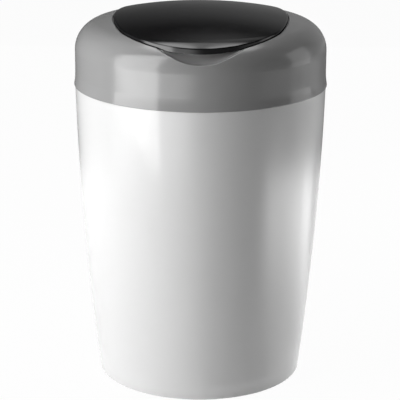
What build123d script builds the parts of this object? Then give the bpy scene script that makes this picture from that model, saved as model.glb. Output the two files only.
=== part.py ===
import math
import os

from build123d import *

os.makedirs("parts", exist_ok=True)

# Nappy bin: a tapered tub, a lift-off hood with a hinged lid, and the film cassette inside.
# Millimetres. +Z is up, the front is -Y, and the origin is the centre of the tub's foot.

# Tub
foot_radius = 108.2
side_bulge = 3.85           # how far the side's arc stands out beyond a straight taper
tub_wall = 2.4
tub_floor = 2.6
foot_width = 9.0            # ring that the tub stands on
foot_depth = 3.0            # height of the hollow inside that ring
floor_corner = 8.0
foot_edge = 1.2
neck_length = 33.6          # from the tub's outer step up to its rim
step_rise = 6.0             # height over which the wall draws in behind the step

# Hood: wall, shoulder arc and shallow spherical dome
hood_radius = 131.1
hood_wall = 2.4
hood_side = 37.0            # from the hem up to the shoulder arc
hem_height = 314.4
hem_flare = 1.4             # the hem stands out from the wall
hem_overhang = 1.2          # the hem stands out from the tub's top
hem_edge = 0.6
flare_height = 13.0
flare_bend = 0.28           # share of the flare that is left at half its height
shoulder_radius = 29.3
dome_radius = 468.0
hem_gap = 0.3               # between the hem and the tub's step
neck_gap = 0.4              # between the hood's wall and the tub's neck

# Lid outline in plan: a pointed oval of two side arcs, a nose arc and a straight back
lid_side_margin = 40.8      # from the hood's wall to the lid's widest point
lid_front_margin = 9.3
lid_back_margin = 43.1
lid_side_radius = 231.0
lid_widest_y = 3.7
lid_corner_radius = 42.0
lid_rise = 1.8              # how far the lid stands above the hood
lid_drop = 2.1              # how far its rim goes down into the opening
lid_wall = 2.2
lid_edge = 1.4              # rounding of the lid's top edge
lid_gap = 1.2               # slot round the lid
lid_back_gap = 0.6          # extra slot at the hinge side
seal_outer_inset = 3.0
seal_width = 5.0
seal_gap = 0.3

# Finger scoop: a round-bottomed cut into the hood's front, under the lid's edge
scoop_radius = 62.0
scoop_slope = 24.0          # degrees, where the round bottom gives way to straight flanks
scoop_half_width = 58.0
scoop_rise = 8.8            # its lowest point, above the foot of the shoulder arc
scoop_reach = 5.0           # depth behind the lid's edge
scoop_corner = 7.0
scoop_wall = 2.0
opening_edge = 0.7          # rounding of the opening's and the scoop's edges

# Film cassette
cassette_margin = 1.3       # its outside is this much inside the lid's widest point
cassette_width = 29.0       # from its outside to its bore
cassette_wall = 1.6
cassette_height = 51.8
inner_wall_drop = 4.5       # the bore's wall stops short of the cap, which leaves the film slit
cap_thickness = 2.0
film_slit = 6.0             # from the bore to the cap's inner edge
cap_skirt = 5.0
cap_skirt_gap = 0.2
grip_count = 8
grip_width = 5.0
grip_height = 4.5
grip_edge = 1.8
grip_start = 1.0            # from the cap's inner edge
grip_end = 6.0              # clearance inside the liner's hole
film_clearance = 1.4
film_height = 43.0
pleat_depth = 1.4
pleat_count = 20

# Hood liner: lip under the hood, wall, and a floor with a round hole over the cassette
liner_wall = 2.2
liner_gap = 0.1             # between the liner's lip and the hood's underside
liner_lift = 3.5            # the liner's floor above the cassette's cap
lip_thickness = 2.4
lip_reach = 6.0             # how far the lip runs out under the hood
liner_inset = 7.3           # outer face of the liner's wall, inside the lid's outline
liner_ledge = 0.8           # the floor shows this much inside the wall at the lid's widest point
liner_screw_side = 12.7     # outside the lid's widest point
liner_screw_y = 40.0
ear_width = 14.0

# Inner panel of the lid
panel_clearance = 1.5       # between the panel and the liner's wall
panel_depth = 7.1
panel_wall = 2.0
lid_screw_x = 42.0
lid_screw_front_y = -66.0
lid_screw_back_y = 38.0
spot_depth = 0.7            # flat seat sunk into the panel for each screw head
spot_gap = 0.3

# Hinge
hinge_setback = 7.0         # the hinge axis behind the lid's back edge
hinge_sink = 3.43           # and below the dome
hinge_barrel_radius = 4.2
hinge_arm_width = 40.0
hinge_arm_drop = 3.5        # the arm's underside, below the hinge axis
hinge_arm_thickness = 5.4
hinge_side_gap = 0.5
hinge_block_width = 11.0
pin_radius = 1.5
pin_fit = 0.05

# Cassette carrier, hung on the tub's rim
flange_thickness = 2.5
carrier_wall = 2.4
skirt_gap = 0.4
shelf_drop = 11.3           # shelf below the rim
cup_depth = 36.4            # underside of the cup's floor below the shelf
cup_gap = 2.0               # round the twist ring
throat_step = 2.0           # the throat is this much wider than the cassette's bore
collar_height = 2.0
hook_count = 3
hook_reach = 3.5
hook_width = 12.0
hook_thickness = 3.0
hook_root = 0.5             # the hooks run this far into the cup's wall

# Diaphragm and its clamp
diaphragm_rim = 18.0        # clamped width outside the throat
diaphragm_thickness = 3.0
finger_root = 3.0           # the fingers start this far inside the throat
finger_tip_radius = 20.0
finger_thickness = 1.2
finger_drop = 11.0
finger_slit = 1.6
finger_count = 8
slit_stop = 4.0             # the slits stop this far short of the fingers' root
clamp_thickness = 2.5
clamp_margin = 12.0         # the clamp ring outside the diaphragm
clamp_screw_margin = 6.0
clamp_screw_count = 6

# Twist ring
turn_gap = 0.3
twist_thickness = 2.5
twist_wall = 2.5
twist_height = 19.5
collar_gap = 0.4
key_count = 4
key_width = 5.0
key_height = 14.0
key_gap = 0.3
key_reach = 3.6             # lugs, from the cassette's side to the ring's wall
lug_width = 4.0
lug_root = 0.4              # the lugs run this far into the ring's wall

# Film cutter on the carrier's shelf
cutter_length = 34.0
cutter_margin = 5.3         # shelf left clear in front of and behind the cutter
cutter_height = 9.0
cutter_corner = 3.0
cutter_slot = 2.4
cutter_slot_depth = 5.5
blade_thickness = 0.5
blade_margin = 2.0          # the blade ends this far inside the cutter
blade_tip = 1.0             # the blade's ends below the cutter's top
cutter_screw_spacing = 25.0

# Screws
screw_radius = 1.25
screw_head_radius = 2.8
screw_head_height = 1.8
screw_head_edge = 0.4
screw_length = 6.5
screw_fit = 0.05            # radial clearance in a boss
screw_hole = 1.5            # clearance hole
boss_radius = 3.8
boss_root = 0.5             # bosses run this far into what carries them

# Tub and hood, worked out from the values above
hem_radius = hood_radius + hem_flare
tub_top_radius = hem_radius - hem_overhang
step_height = hem_height - hem_gap
belly_height = step_height / 2
belly_radius = (foot_radius + tub_top_radius) / 2 + side_bulge
rim_height = step_height + neck_length
hood_inner = hood_radius - hood_wall
neck_outer = hood_inner - neck_gap
neck_inner = neck_outer - tub_wall
shoulder_height = hem_height + hood_side
shoulder_centre = hood_radius - shoulder_radius
dome_lean = math.degrees(math.asin(shoulder_centre / (dome_radius - shoulder_radius)))
dome_centre = shoulder_height - math.sqrt((dome_radius - shoulder_radius) ** 2 - shoulder_centre**2)
above_all = hem_height + hood_radius

# Lid outline
lid_half_width = hood_radius - lid_side_margin
lid_front_y = lid_front_margin - hood_radius
lid_back_y = hood_radius - lid_back_margin
side_centre = lid_side_radius - lid_half_width
nose_run = lid_widest_y - lid_front_y
nose_square = side_centre**2 + nose_run**2 - lid_side_radius**2
lid_nose_radius = nose_square / (nose_run - lid_side_radius) / 2
nose_y = lid_front_y + lid_nose_radius
scoop_bottom = shoulder_height + scoop_rise
scoop_centre = scoop_bottom + scoop_radius
lip_drop = hood_wall + liner_gap
liner_inner_inset = liner_inset + liner_wall
liner_hole_radius = lid_half_width - liner_inner_inset - liner_ledge
liner_screw_x = lid_half_width + liner_screw_side

# Cassette, twist ring, carrier and diaphragm
cassette_radius = lid_half_width - cassette_margin
cassette_bore = cassette_radius - cassette_width
cap_bore = cassette_bore + film_slit
key_outer = cassette_radius + key_reach
twist_radius = key_outer + collar_gap + twist_wall
cup_radius = twist_radius + cup_gap
throat_radius = cassette_bore + throat_step
diaphragm_radius = throat_radius + diaphragm_rim
finger_root_radius = throat_radius - finger_root
clamp_radius = diaphragm_radius + clamp_margin
clamp_screw_radius = diaphragm_radius + clamp_screw_margin
shelf_height = rim_height - shelf_drop
cup_floor_height = shelf_height - cup_depth
cup_floor_top = cup_floor_height + carrier_wall
twist_floor = cup_floor_top + turn_gap
twist_top = twist_floor + twist_height
tray_floor = twist_floor + twist_thickness
cap_height = tray_floor + cassette_height
cap_top = cap_height + cap_thickness
liner_floor_height = cap_top + liner_lift
liner_floor_top = liner_floor_height + liner_wall


def circle_through(first, middle, last):
    """Centre radius, centre height and radius of the circle through three profile points."""
    (ax, az), (bx, bz), (cx, cz) = first, middle, last
    turn = 2 * (ax * (bz - cz) + bx * (cz - az) + cx * (az - bz))
    a_square, b_square, c_square = ax**2 + az**2, bx**2 + bz**2, cx**2 + cz**2
    centre_x = (a_square * (bz - cz) + b_square * (cz - az) + c_square * (az - bz)) / turn
    centre_z = (a_square * (cx - bx) + b_square * (ax - cx) + c_square * (bx - ax)) / turn
    return centre_x, centre_z, math.hypot(ax - centre_x, az - centre_z)


def tub_radius(height):
    """Outer radius of the tub at a height, on the arc through foot, belly and top."""
    points = (foot_radius, 0), (belly_radius, belly_height), (tub_top_radius, step_height)
    centre_x, centre_z, radius = circle_through(*points)
    return centre_x + math.sqrt(radius**2 - (height - centre_z) ** 2)


def turned(points):
    """Ring or disc turned about Z from a closed outline of (radius, height) points."""
    with BuildPart() as ring:
        with BuildSketch(Plane.XZ):
            with BuildLine():
                Polyline(*points, close=True)
            make_face()
        revolve(axis=Axis.Z)
    return ring.part


def ring_between(inner_radius, outer_radius, bottom, top):
    """Plain ring of rectangular section."""
    corners = (inner_radius, bottom), (outer_radius, bottom), (outer_radius, top), (inner_radius, top)
    return turned(corners)


def dome_fill(rise, bottom):
    """Solid under the hood's outer surface, moved outward by rise, down to a flat bottom."""
    with BuildPart() as fill:
        with BuildSketch(Plane.XZ):
            with BuildLine():
                wall = Line((hood_radius + rise, bottom), (hood_radius + rise, shoulder_height))
                shoulder = CenterArc(
                    (shoulder_centre, shoulder_height), shoulder_radius + rise, 0, 90 - dome_lean
                )
                dome = CenterArc((0, dome_centre), dome_radius + rise, 90 - dome_lean, dome_lean)
                Polyline(dome @ 1, (0, bottom), wall @ 0)
            make_face()
        revolve(axis=Axis.Z)
    return fill.part


def dome_height(x, y, rise):
    """Height of the moved dome surface over a point, on the spherical part or the shoulder arc."""
    distance = math.hypot(x, y)
    if distance < (dome_radius + rise) * math.sin(math.radians(dome_lean)):
        return dome_centre + math.sqrt((dome_radius + rise) ** 2 - distance**2)
    reach = min(distance - shoulder_centre, shoulder_radius + rise)
    return shoulder_height + math.sqrt((shoulder_radius + rise) ** 2 - reach**2)


def lid_outline(inset, back_shift=0.0):
    """The lid's plan outline, moved inward by inset: its arcs stay concentric."""
    with BuildSketch() as outline:
        with Locations((-side_centre, lid_widest_y)):
            Circle(lid_side_radius - inset)
        with Locations((side_centre, lid_widest_y)):
            Circle(lid_side_radius - inset, mode=Mode.INTERSECT)
        with Locations((0, lid_back_y - inset + back_shift)):
            Rectangle(
                2 * lid_side_radius, 2 * lid_side_radius, align=(Align.CENTER, Align.MAX), mode=Mode.INTERSECT
            )
        fillet(outline.vertices().sort_by(Axis.Y)[0], lid_nose_radius - inset)
        fillet(outline.vertices().sort_by(Axis.Y)[-2:], lid_corner_radius - inset)
    return outline.sketch


def outline_prism(inset, bottom, top, back_shift=0.0):
    """Upright prism on the lid's outline."""
    with BuildPart() as prism:
        with BuildSketch(Plane.XY.offset(bottom)):
            add(lid_outline(inset, back_shift))
        extrude(amount=top - bottom)
    return prism.part


def rim_edges(builder, rise, inset, back_shift=0.0):
    """Edges where the moved dome surface meets the wall on the moved outline."""
    path = lid_outline(inset, back_shift).wires()[0]

    def on_rim(point):
        on_dome = abs(point.Z - dome_height(point.X, point.Y, rise)) < 0.02
        return on_dome and path.distance_to(Vertex(point.X, point.Y, 0)) < 0.02

    return edges_where(builder, on_rim)


def scoop_height(x, growth=0.0):
    """Height of the scoop's bottom: an arc, then flanks tangent to it, moved outward by growth."""
    radius = scoop_radius + growth
    slope = math.radians(scoop_slope)
    if abs(x) < radius * math.sin(slope):
        return scoop_centre - math.sqrt(radius**2 - x**2)
    return scoop_centre + abs(x) * math.tan(slope) - radius / math.cos(slope)


def scoop_edges(builder):
    """Edges where the hood's outer surface meets the scoop's bottom and flanks."""

    def on_scoop(point):
        on_dome = abs(point.Z - dome_height(point.X, point.Y, 0)) < 0.02
        return on_dome and abs(point.Z - scoop_height(point.X)) < 0.02

    return edges_where(builder, on_scoop)


def edges_where(builder, test):
    """Edges whose sample points all pass a test."""
    samples = (0.2, 0.5, 0.8)
    return ShapeList(
        edge for edge in builder.edges() if all(test(edge.position_at(share)) for share in samples)
    )


def scoop_cut(growth):
    """Cuts the finger scoop, its back wall along the lid's outline, grown for the wall round it."""
    half = scoop_half_width + growth
    wall_radius = lid_nose_radius - scoop_reach - growth

    def on_corner(point):
        on_wall = abs(math.hypot(point.X, point.Y - nose_y) - wall_radius) < 0.01
        return on_wall and abs(point.Z - scoop_height(point.X, growth)) < 0.01

    with BuildPart() as cut:
        with BuildSketch(Plane.XZ.offset(-nose_y)):
            with BuildLine():
                bottom = CenterArc(
                    (0, scoop_centre), scoop_radius + growth, 270 - scoop_slope, 2 * scoop_slope
                )
                Polyline(bottom @ 1, (half, scoop_height(half, growth)), (half, above_all),
                         (-half, above_all), (-half, scoop_height(half, growth)), bottom @ 0)
            make_face()
        extrude(amount=hood_radius)
        behind = outline_prism(scoop_reach + growth, scoop_bottom - scoop_corner, above_all + 1)
        add(behind, mode=Mode.SUBTRACT)
        fillet(edges_where(cut, on_corner), scoop_corner + growth)
    return cut.part


def block(x_range, y_range, z_range):
    """Box between pairs of coordinates."""
    spans = x_range, y_range, z_range
    sizes = [high - low for low, high in spans]
    with BuildPart() as box:
        with Locations(tuple((low + high) / 2 for low, high in spans)):
            Box(*sizes)
    return box.part


def rod(radius, points, bottom, top):
    """Upright rods of one radius at the given places."""
    with BuildPart() as rods:
        with BuildSketch(Plane.XY.offset(bottom)):
            with Locations(*points):
                Circle(radius)
        extrude(amount=top - bottom)
    return rods.part


def cross_rod(radius, half_length):
    """Rod along X on the hinge axis."""
    with BuildPart() as rods:
        with BuildSketch(Plane.YZ.offset(-half_length)):
            with Locations((hinge_y, hinge_z)):
                Circle(radius)
        extrude(amount=2 * half_length)
    return rods.part


def upward_screws(points, head_top):
    """Screws driven up from below, their heads' flat faces at one height."""
    with BuildPart() as screws:
        add(rod(screw_head_radius, points, head_top - screw_head_height, head_top))
        add(rod(screw_radius, points, head_top, head_top + screw_length))
        head_edges = screws.edges().group_by(Axis.Z)[0]
        chamfer(head_edges, screw_head_edge)
    return screws.part


def polar_points(radius, count, start=0.0):
    """Evenly spaced points on a circle about Z."""
    angles = [math.radians(start + 360 * i / count) for i in range(count)]
    return [(radius * math.cos(angle), radius * math.sin(angle)) for angle in angles]


def finish(piece, name):
    """Label a piece and write it out."""
    piece.label = name
    export_step(piece, f"parts/{name}.step")
    print(name, round(piece.volume / 1000, 1), "cm3", len(piece.solids()), "solid")


# Tub: arc-sided bucket with a drawn-in neck that the hood slides over
with BuildPart() as tub:
    with BuildSketch(Plane.XZ) as outside:
        with BuildLine():
            side = ThreePointArc(
                (foot_radius, 0), (belly_radius, belly_height), (tub_top_radius, step_height)
            )
            Polyline(side @ 1, (neck_outer, step_height), (neck_outer, rim_height), (0, rim_height),
                     (0, foot_depth), (foot_radius - foot_width, foot_depth),
                     (foot_radius - foot_width, 0), side @ 0)
        make_face()
        fillet(outside.vertices().sort_by_distance((foot_radius, 0))[0], foot_edge)
    revolve(axis=Axis.Z)
    floor_top = foot_depth + tub_floor
    draw_in = step_height - step_rise
    with BuildSketch(Plane.XZ) as inside:
        with BuildLine():
            wall = ThreePointArc(
                (tub_radius(floor_top) - tub_wall, floor_top),
                (belly_radius - tub_wall, belly_height),
                (tub_radius(draw_in) - tub_wall, draw_in),
            )
            Polyline(wall @ 1, (neck_inner, step_height), (neck_inner, rim_height + 1),
                     (0, rim_height + 1), (0, floor_top), wall @ 0)
        make_face()
        fillet(inside.vertices().sort_by_distance((foot_radius, floor_top))[0], floor_corner)
    revolve(axis=Axis.Z, mode=Mode.SUBTRACT)
finish(tub.part, "tub")

# Cassette carrier: flange on the rim, skirt, shelf, cup and throat
clamp_points = polar_points(clamp_screw_radius, clamp_screw_count, 30)
boss_bottom = cup_floor_height - diaphragm_thickness
skirt_outer = neck_inner - skirt_gap
skirt_inner = skirt_outer - carrier_wall
flange_top = rim_height + flange_thickness
cutter_y = -(cup_radius + skirt_inner) / 2
cutter_depth = skirt_inner - cup_radius - 2 * cutter_margin
cutter_screws_at = [(x, cutter_y) for x in (-cutter_screw_spacing / 2, cutter_screw_spacing / 2)]
with BuildPart() as cassette_carrier:
    add(turned([
        (neck_outer, rim_height), (neck_outer, flange_top),
        (skirt_inner, flange_top), (skirt_inner, shelf_height),
        (cup_radius, shelf_height), (cup_radius, cup_floor_top),
        (throat_radius + carrier_wall, cup_floor_top),
        (throat_radius + carrier_wall, cup_floor_top + collar_height),
        (throat_radius, cup_floor_top + collar_height), (throat_radius, cup_floor_height),
        (cup_radius + carrier_wall, cup_floor_height),
        (cup_radius + carrier_wall, shelf_height - carrier_wall),
        (skirt_outer, shelf_height - carrier_wall), (skirt_outer, rim_height),
    ]))
    add(rod(boss_radius, clamp_points, boss_bottom, cup_floor_height + boss_root))
    bore_top = boss_bottom - clamp_thickness + screw_length
    add(rod(screw_radius + screw_fit, clamp_points, boss_bottom, bore_top), mode=Mode.SUBTRACT)
    hook_middle = twist_top + collar_gap + hook_thickness / 2
    with PolarLocations(cup_radius + (hook_root - hook_reach) / 2, hook_count, start_angle=90):
        with Locations((0, 0, hook_middle)):
            Box(hook_reach + hook_root, hook_width, hook_thickness)
    add(rod(screw_hole, cutter_screws_at, shelf_height - carrier_wall, shelf_height), mode=Mode.SUBTRACT)
finish(cassette_carrier.part, "cassette_carrier")

# Gripper diaphragm: soft disc whose slit fingers slope down to a small hole
finger_fall = finger_drop + finger_thickness
with BuildPart() as gripper_diaphragm:
    add(turned([
        (diaphragm_radius, boss_bottom), (diaphragm_radius, cup_floor_height),
        (finger_root_radius, cup_floor_height),
        (finger_tip_radius, cup_floor_height - finger_drop),
        (finger_tip_radius, cup_floor_height - finger_fall),
        (finger_root_radius, boss_bottom),
    ]))
    slit_length = finger_root_radius - slit_stop
    with PolarLocations(slit_length / 2, finger_count):
        with Locations((0, 0, cup_floor_height - finger_drop / 2)):
            Box(slit_length, finger_slit, 3 * finger_drop, mode=Mode.SUBTRACT)
finish(gripper_diaphragm.part, "gripper_diaphragm")

# Clamp ring under the diaphragm
clamp_bottom = boss_bottom - clamp_thickness
with BuildPart() as diaphragm_clamp_ring:
    add(ring_between(throat_radius, clamp_radius, clamp_bottom, boss_bottom))
    add(rod(screw_hole, clamp_points, clamp_bottom, boss_bottom), mode=Mode.SUBTRACT)
finish(diaphragm_clamp_ring.part, "diaphragm_clamp_ring")

diaphragm_screws = upward_screws(clamp_points, clamp_bottom)
finish(diaphragm_screws, "diaphragm_screws")

# Film cutter: slotted block with a blade across the bottom of its slot
cutter_top = shelf_height + cutter_height
slot_bottom = cutter_top - cutter_slot_depth
blade_half = cutter_depth / 2 - blade_margin
with BuildPart() as cutter_body:
    with Locations((0, cutter_y, shelf_height)):
        Box(cutter_length, cutter_depth, cutter_height, align=(Align.CENTER, Align.CENTER, Align.MIN))
    fillet(cutter_body.edges().filter_by(Axis.Z), cutter_corner)
    with Locations((0, cutter_y, cutter_top)):
        slot_length = cutter_screw_spacing - 2 * boss_radius
        Box(slot_length, cutter_slot, 2 * cutter_slot_depth, mode=Mode.SUBTRACT)
        Box(blade_thickness, 2 * blade_half, 2 * cutter_slot_depth, mode=Mode.SUBTRACT)
    bore_top = shelf_height + screw_length - carrier_wall
    add(rod(screw_radius + screw_fit, cutter_screws_at, shelf_height, bore_top), mode=Mode.SUBTRACT)
finish(cutter_body.part, "cutter_body")

with BuildPart() as cutter_blade:
    with BuildSketch(Plane.YZ.offset(-blade_thickness / 2)):
        with BuildLine():
            Polyline(
                (cutter_y - blade_half, slot_bottom), (cutter_y + blade_half, slot_bottom),
                (cutter_y + blade_half, cutter_top - blade_tip), (cutter_y, cutter_top - cutter_slot),
                (cutter_y - blade_half, cutter_top - blade_tip), close=True,
            )
        make_face()
    extrude(amount=blade_thickness)
finish(cutter_blade.part, "cutter_blade")

cutter_screws = upward_screws(cutter_screws_at, shelf_height - carrier_wall)
finish(cutter_screws, "cutter_screws")

# Twist ring: turntable in the carrier's cup, with pairs of lugs that hold the cassette's keys
twist_inner = throat_radius + carrier_wall + collar_gap
lug_inner = cassette_radius + collar_gap
lug_outer = twist_radius - twist_wall + lug_root
lug_offset = key_width / 2 + key_gap + lug_width / 2
with BuildPart() as twist_ring:
    add(turned([
        (twist_inner, twist_floor), (twist_radius, twist_floor), (twist_radius, twist_top),
        (twist_radius - twist_wall, twist_top), (twist_radius - twist_wall, tray_floor),
        (twist_inner, tray_floor),
    ]))
    with PolarLocations((lug_inner + lug_outer) / 2, key_count, start_angle=45):
        with Locations((0, lug_offset, tray_floor), (0, -lug_offset, tray_floor)):
            Box(lug_outer - lug_inner, lug_width, key_height, align=(Align.CENTER, Align.CENTER, Align.MIN))
finish(twist_ring.part, "twist_ring")

# Cassette tray: annular trough with four outer keys
tray_inside = tray_floor + cassette_wall
inner_wall_top = cap_height - inner_wall_drop
with BuildPart() as cassette_tray:
    add(turned([
        (cassette_bore, tray_floor), (cassette_radius, tray_floor), (cassette_radius, cap_height),
        (cassette_radius - cassette_wall, cap_height), (cassette_radius - cassette_wall, tray_inside),
        (cassette_bore + cassette_wall, tray_inside), (cassette_bore + cassette_wall, inner_wall_top),
        (cassette_bore, inner_wall_top),
    ]))
    key_length = key_outer - cassette_radius + cassette_wall / 2
    with PolarLocations(key_outer - key_length / 2, key_count, start_angle=45):
        with Locations((0, 0, tray_floor)):
            Box(key_length, key_width, key_height, align=(Align.CENTER, Align.CENTER, Align.MIN))
finish(cassette_tray.part, "cassette_tray")

# Cassette cap: disc with a skirt inside the tray, and radial finger grips
grip_inner = cap_bore + grip_start
grip_outer = liner_hole_radius - grip_end
skirt_radius = cassette_radius - cassette_wall - cap_skirt_gap
with BuildPart() as cassette_cap:
    add(turned([
        (cap_bore, cap_height), (skirt_radius - cassette_wall, cap_height),
        (skirt_radius - cassette_wall, cap_height - cap_skirt), (skirt_radius, cap_height - cap_skirt),
        (skirt_radius, cap_height), (cassette_radius, cap_height), (cassette_radius, cap_top),
        (cap_bore, cap_top),
    ]))
    with PolarLocations((grip_inner + grip_outer) / 2, grip_count, start_angle=22.5):
        with Locations((0, 0, cap_top)):
            Box(grip_outer - grip_inner, grip_width, grip_height,
                align=(Align.CENTER, Align.CENTER, Align.MIN))
    fillet(cassette_cap.edges().group_by(Axis.Z)[-1], grip_edge)
finish(cassette_cap.part, "cassette_cap")

# Film pack: pleated sleeve packed into the tray
film_outer = cassette_radius - cassette_wall - film_clearance
film_inner = cassette_bore + cassette_wall + film_clearance
pleat_step = film_height / pleat_count / 2
folds = [(pleat_depth * (i % 2), tray_inside + i * pleat_step) for i in range(2 * pleat_count + 1)]
outer_edge = [(film_outer - tuck, height) for tuck, height in folds]
inner_edge = [(film_inner + tuck, height) for tuck, height in folds]
film_pack = turned(outer_edge + inner_edge[::-1])
finish(film_pack, "film_pack")

# Hood shell: hem, wall, shoulder and dome, with the lid's opening, the scoop and the hinge blocks
hinge_y = lid_back_y + hinge_setback
hinge_z = dome_height(0, hinge_y, 0) - hinge_sink
boss_rows = (-liner_screw_y, liner_screw_y)
liner_screws_at = [(x, y) for x in (-liner_screw_x, liner_screw_x) for y in boss_rows]
hood_bore = dome_fill(-hood_wall, hem_height - 1)
under_skin = dome_fill(-hood_wall / 2, hem_height)
opening = outline_prism(-lid_gap, liner_floor_height, above_all, lid_back_gap)
lip_surface = dome_fill(-lip_drop, hem_height)
hood_skin = dome_fill(0, hem_height)
drum = scoop_cut(0)
drum_bowl = scoop_cut(scoop_wall)
arm_half = hinge_arm_width / 2
notch_half = arm_half + hinge_side_gap
block_outer = notch_half + hinge_block_width
barrel_clear = hinge_barrel_radius + hinge_side_gap
block_bottom = hinge_z - barrel_clear

with BuildPart() as well:
    add(opening)
    add(lip_surface, mode=Mode.SUBTRACT)

with BuildPart() as scoop_bowl:
    add(drum_bowl)
    add(hood_skin, mode=Mode.INTERSECT)
    add(well.part, mode=Mode.SUBTRACT)

with BuildPart() as hood_bosses:
    add(rod(boss_radius, liner_screws_at, liner_floor_top, above_all))
    for side_sign in (-1, 1):
        x_span = sorted((side_sign * notch_half, side_sign * block_outer))
        add(block(x_span, (hinge_y - barrel_clear, hinge_y + barrel_clear), (block_bottom, above_all)))
    add(under_skin, mode=Mode.INTERSECT)

with BuildPart() as hood_shell:
    with BuildSketch(Plane.XZ) as hem:
        with BuildLine():
            flare = ThreePointArc(
                (hem_radius, hem_height),
                (hood_radius + flare_bend * hem_flare, hem_height + flare_height / 2),
                (hood_radius, hem_height + flare_height),
            )
            Polyline(flare @ 1, (0, hem_height + flare_height), (0, hem_height), flare @ 0)
        make_face()
        fillet(hem.vertices().sort_by_distance((hem_radius, hem_height))[0], hem_edge)
    revolve(axis=Axis.Z)
    add(hood_skin)
    add(hood_bore, mode=Mode.SUBTRACT)
    add(opening, mode=Mode.SUBTRACT)
    add(hood_bosses.part)
    add(scoop_bowl.part)
    add(drum, mode=Mode.SUBTRACT)
    fillet(rim_edges(hood_shell, 0, -lid_gap, lid_back_gap) + scoop_edges(hood_shell), opening_edge)
    notch_depth = (lid_back_y - hinge_setback, hinge_y + barrel_clear)
    add(block((-notch_half, notch_half), notch_depth, (block_bottom, above_all)), mode=Mode.SUBTRACT)
    add(cross_rod(pin_radius, block_outer + 1), mode=Mode.SUBTRACT)
    bore_top = liner_floor_height + screw_length
    add(rod(screw_radius + screw_fit, liner_screws_at, liner_floor_top, bore_top), mode=Mode.SUBTRACT)
finish(hood_shell.part, "hood_shell")

# Hood liner
panel_inset = liner_inner_inset + panel_clearance
lip_outer = outline_prism(-lip_reach, liner_floor_height, above_all)
lip_bottom = dome_fill(-lip_drop - lip_thickness, hem_height)
liner_outside = outline_prism(liner_inset, liner_floor_height, above_all)
liner_inside = outline_prism(liner_inner_inset, liner_floor_top, above_all)
liner_mouth = outline_prism(liner_inner_inset, liner_floor_height, above_all)
drum_clear = scoop_cut(scoop_wall + seal_gap)

with BuildPart() as liner_lip:
    add(lip_outer)
    add(lip_surface, mode=Mode.INTERSECT)
    add(lip_bottom, mode=Mode.SUBTRACT)
    add(liner_mouth, mode=Mode.SUBTRACT)

with BuildPart() as hood_liner:
    add(liner_outside)
    add(lip_surface, mode=Mode.INTERSECT)
    for side_sign in (-1, 1):
        for boss_y in boss_rows:
            x_span = sorted((0, side_sign * (liner_screw_x + ear_width / 2)))
            y_span = (boss_y - ear_width / 2, boss_y + ear_width / 2)
            add(block(x_span, y_span, (liner_floor_height, liner_floor_top)))
    add(liner_lip.part)
    add(liner_inside, mode=Mode.SUBTRACT)
    add(rod(liner_hole_radius, [(0, 0)], liner_floor_height, liner_floor_top), mode=Mode.SUBTRACT)
    add(rod(screw_hole, liner_screws_at, liner_floor_height, liner_floor_top), mode=Mode.SUBTRACT)
    add(drum_clear, mode=Mode.SUBTRACT)
    notch_heights = (block_bottom - hinge_side_gap, above_all)
    notch_depth = (lid_back_y - panel_inset - 1, hood_radius)
    add(block((-notch_half, notch_half), notch_depth, notch_heights), mode=Mode.SUBTRACT)
    wide_half = block_outer + hinge_side_gap
    wide_depth = (hinge_y - barrel_clear - hinge_side_gap, hood_radius)
    add(block((-wide_half, wide_half), wide_depth, notch_heights), mode=Mode.SUBTRACT)
finish(hood_liner.part, "hood_liner")

hood_liner_screws = upward_screws(liner_screws_at, liner_floor_height)
finish(hood_liner_screws, "hood_liner_screws")

hinge_pin = cross_rod(pin_radius, block_outer - 1)
finish(hinge_pin, "hinge_pin")

# Lid shell: domed cap with a short rim, and bosses for the inner panel
lid_screw_rows = [
    [(x, y) for x in (-lid_screw_x, lid_screw_x)] for y in (lid_screw_front_y, lid_screw_back_y)
]
panel_rise = lid_rise - lid_wall - panel_depth
head_seats = [dome_height(*row[0], panel_rise) + spot_depth for row in lid_screw_rows]
lid_skin = dome_fill(lid_rise, hem_height)
lid_underside = dome_fill(lid_rise - lid_wall, hem_height)

with BuildPart() as lid_cavity:
    add(outline_prism(lid_wall, liner_floor_height, above_all))
    add(lid_underside, mode=Mode.INTERSECT)

with BuildPart() as lid_bosses:
    add(rod(boss_radius, lid_screw_rows[0] + lid_screw_rows[1], liner_floor_height, above_all))
    add(lid_skin, mode=Mode.INTERSECT)
    add(dome_fill(panel_rise + panel_wall + liner_gap, hem_height), mode=Mode.SUBTRACT)

with BuildPart() as lid_shell:
    add(outline_prism(0, liner_floor_height, above_all))
    add(lid_skin, mode=Mode.INTERSECT)
    add(dome_fill(-lid_drop, hem_height), mode=Mode.SUBTRACT)
    fillet(rim_edges(lid_shell, lid_rise, 0), lid_edge)
    add(lid_cavity.part, mode=Mode.SUBTRACT)
    add(lid_bosses.part)
    for row, seat in zip(lid_screw_rows, head_seats):
        add(rod(screw_radius + screw_fit, row, seat, seat + screw_length), mode=Mode.SUBTRACT)
finish(lid_shell.part, "lid_shell")

# Lid inner: shallow tray under the lid, with the hinge arm and its barrel
with BuildPart() as panel_hollow:
    add(outline_prism(panel_inset + panel_wall, liner_floor_height, above_all))
    add(dome_fill(panel_rise + panel_wall, hem_height), mode=Mode.SUBTRACT)

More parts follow.
